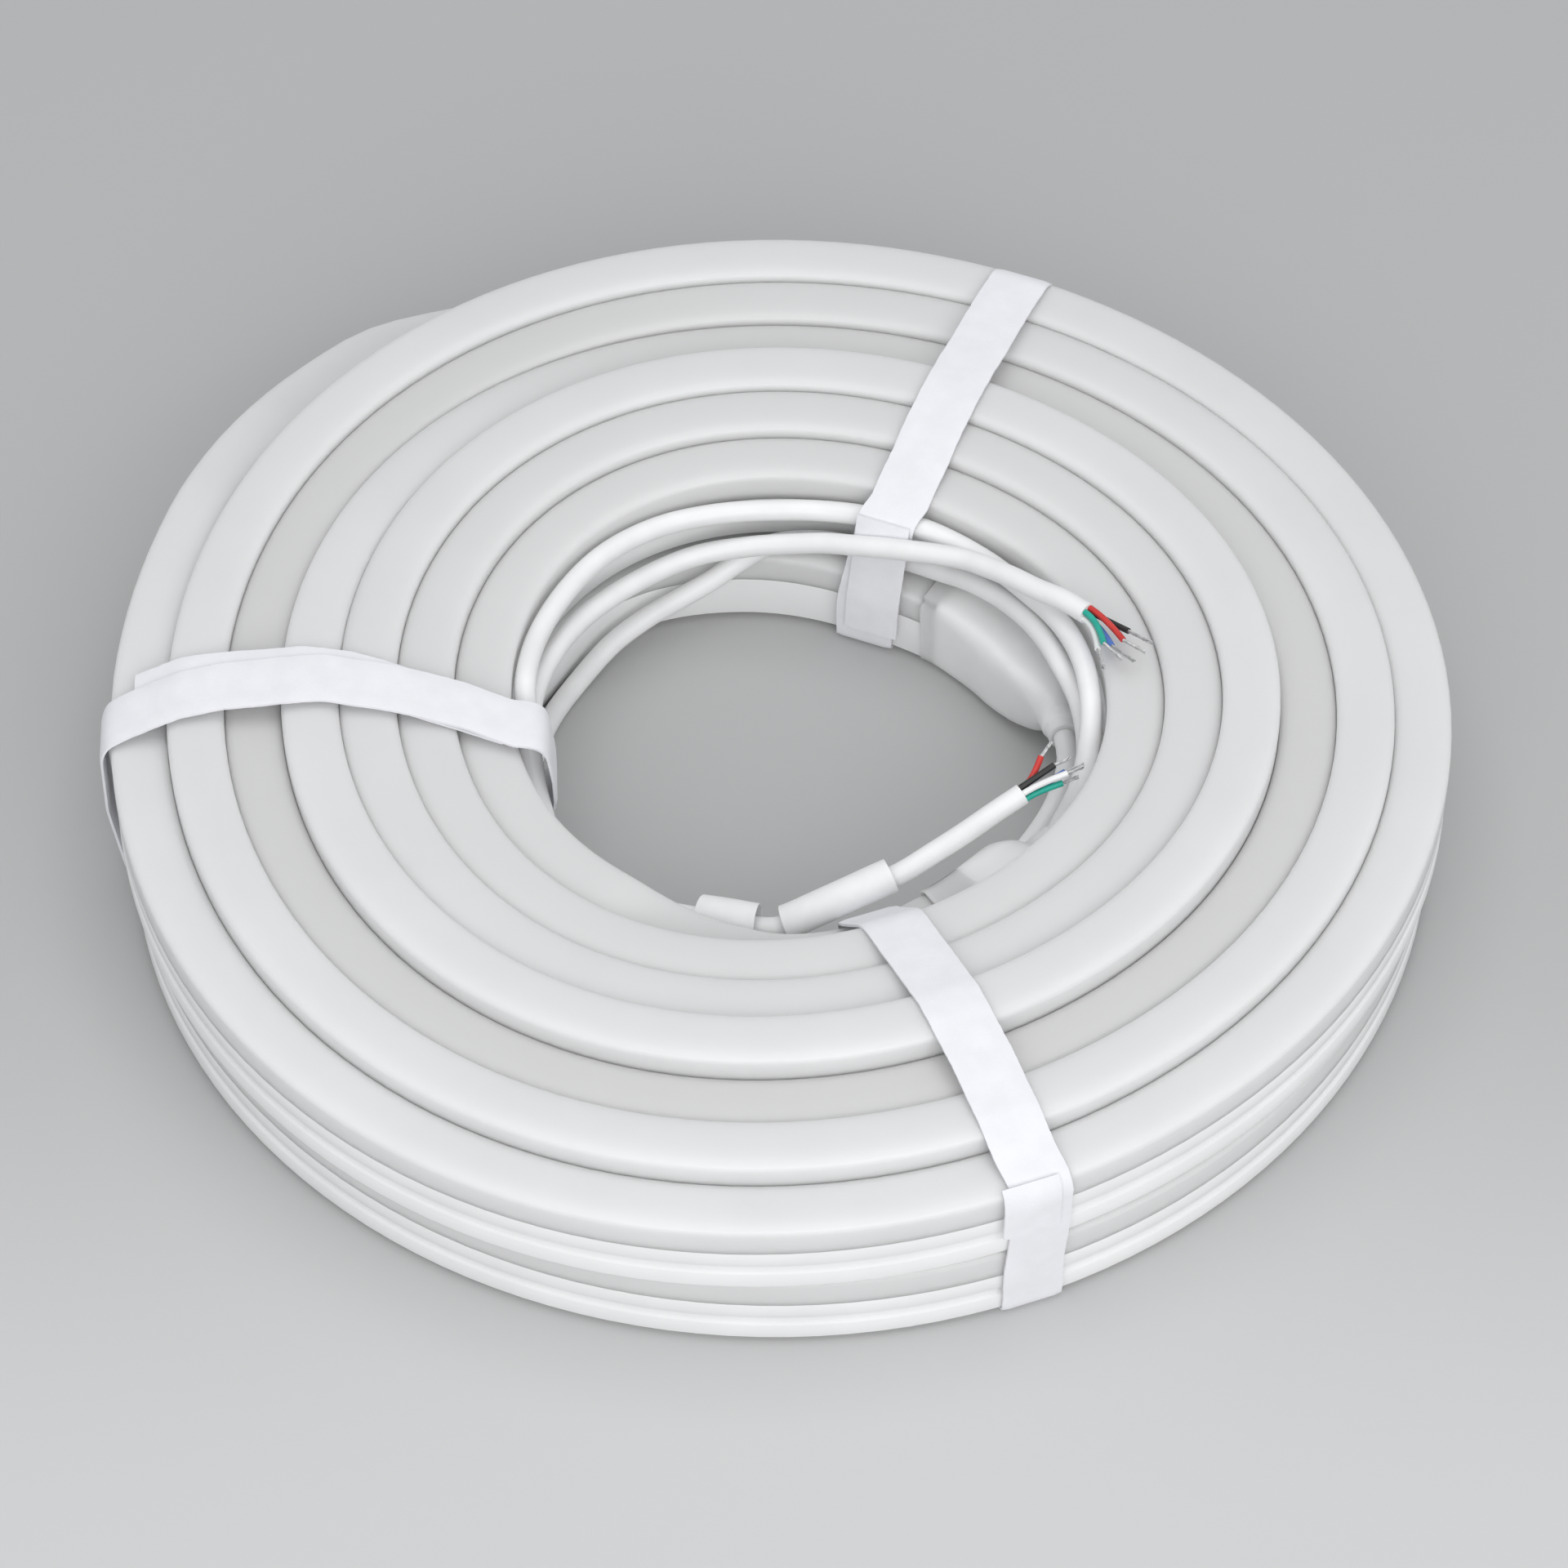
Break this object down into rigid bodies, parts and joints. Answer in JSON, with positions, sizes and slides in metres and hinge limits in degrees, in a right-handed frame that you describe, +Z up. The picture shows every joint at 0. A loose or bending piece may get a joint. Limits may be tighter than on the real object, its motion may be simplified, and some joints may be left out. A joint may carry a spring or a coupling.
{
  "type": "led neon flex reel",
  "caption": "Coil of white LED neon flex in two stacked layers, tied with three straps, with moulded end caps and a stripped cable on each end in the centre hole.",
  "frame": {"origin": "middle of the coil's outline in plan, at the underside of the straps", "axes": "+Z up along the coil's axis, +X to the right and +Y to the back as the picture shows the coil"},
  "size_m": [0.353, 0.3555, 0.0605],
  "materials": {
    "opaque_silicone": "satin opaque white silicone",
    "milky_silicone": "satin milky silicone",
    "cable_jacket": "satin white jacket",
    "wire_red": "satin",
    "wire_black": "satin",
    "wire_white": "satin",
    "wire_green": "satin",
    "wire_blue": "satin",
    "tinned_copper": "twisted tinned strands",
    "label_paper": "blank white label",
    "strap_fabric": "woven hook-and-loop tape"
  },
  "bodies": {
    "root": {"flex_base": "opaque_silicone", "flex_diffuser": "milky_silicone", "end_cap_a": "milky_silicone", "end_cap_b": "milky_silicone", "cable_a": "cable_jacket", "cable_b": "cable_jacket", "wire_a_red": "wire_red", "wire_a_black": "wire_black", "wire_a_white": "wire_white", "wire_a_green": "wire_green", "wire_a_blue": "wire_blue", "wire_b_red": "wire_red", "wire_b_black": "wire_black", "wire_b_white": "wire_white", "wire_b_green": "wire_green", "wire_b_blue": "wire_blue", "strands_a_red": "tinned_copper", "strands_a_black": "tinned_copper", "strands_a_white": "tinned_copper", "strands_a_green": "tinned_copper", "strands_a_blue": "tinned_copper", "strands_b_red": "tinned_copper", "strands_b_black": "tinned_copper", "strands_b_white": "tinned_copper", "strands_b_green": "tinned_copper", "strands_b_blue": "tinned_copper", "label_left": "label_paper", "label_front": "label_paper", "strap_left": "strap_fabric", "strap_back": "strap_fabric", "strap_front": "strap_fabric"}
  },
  "joints": []
}
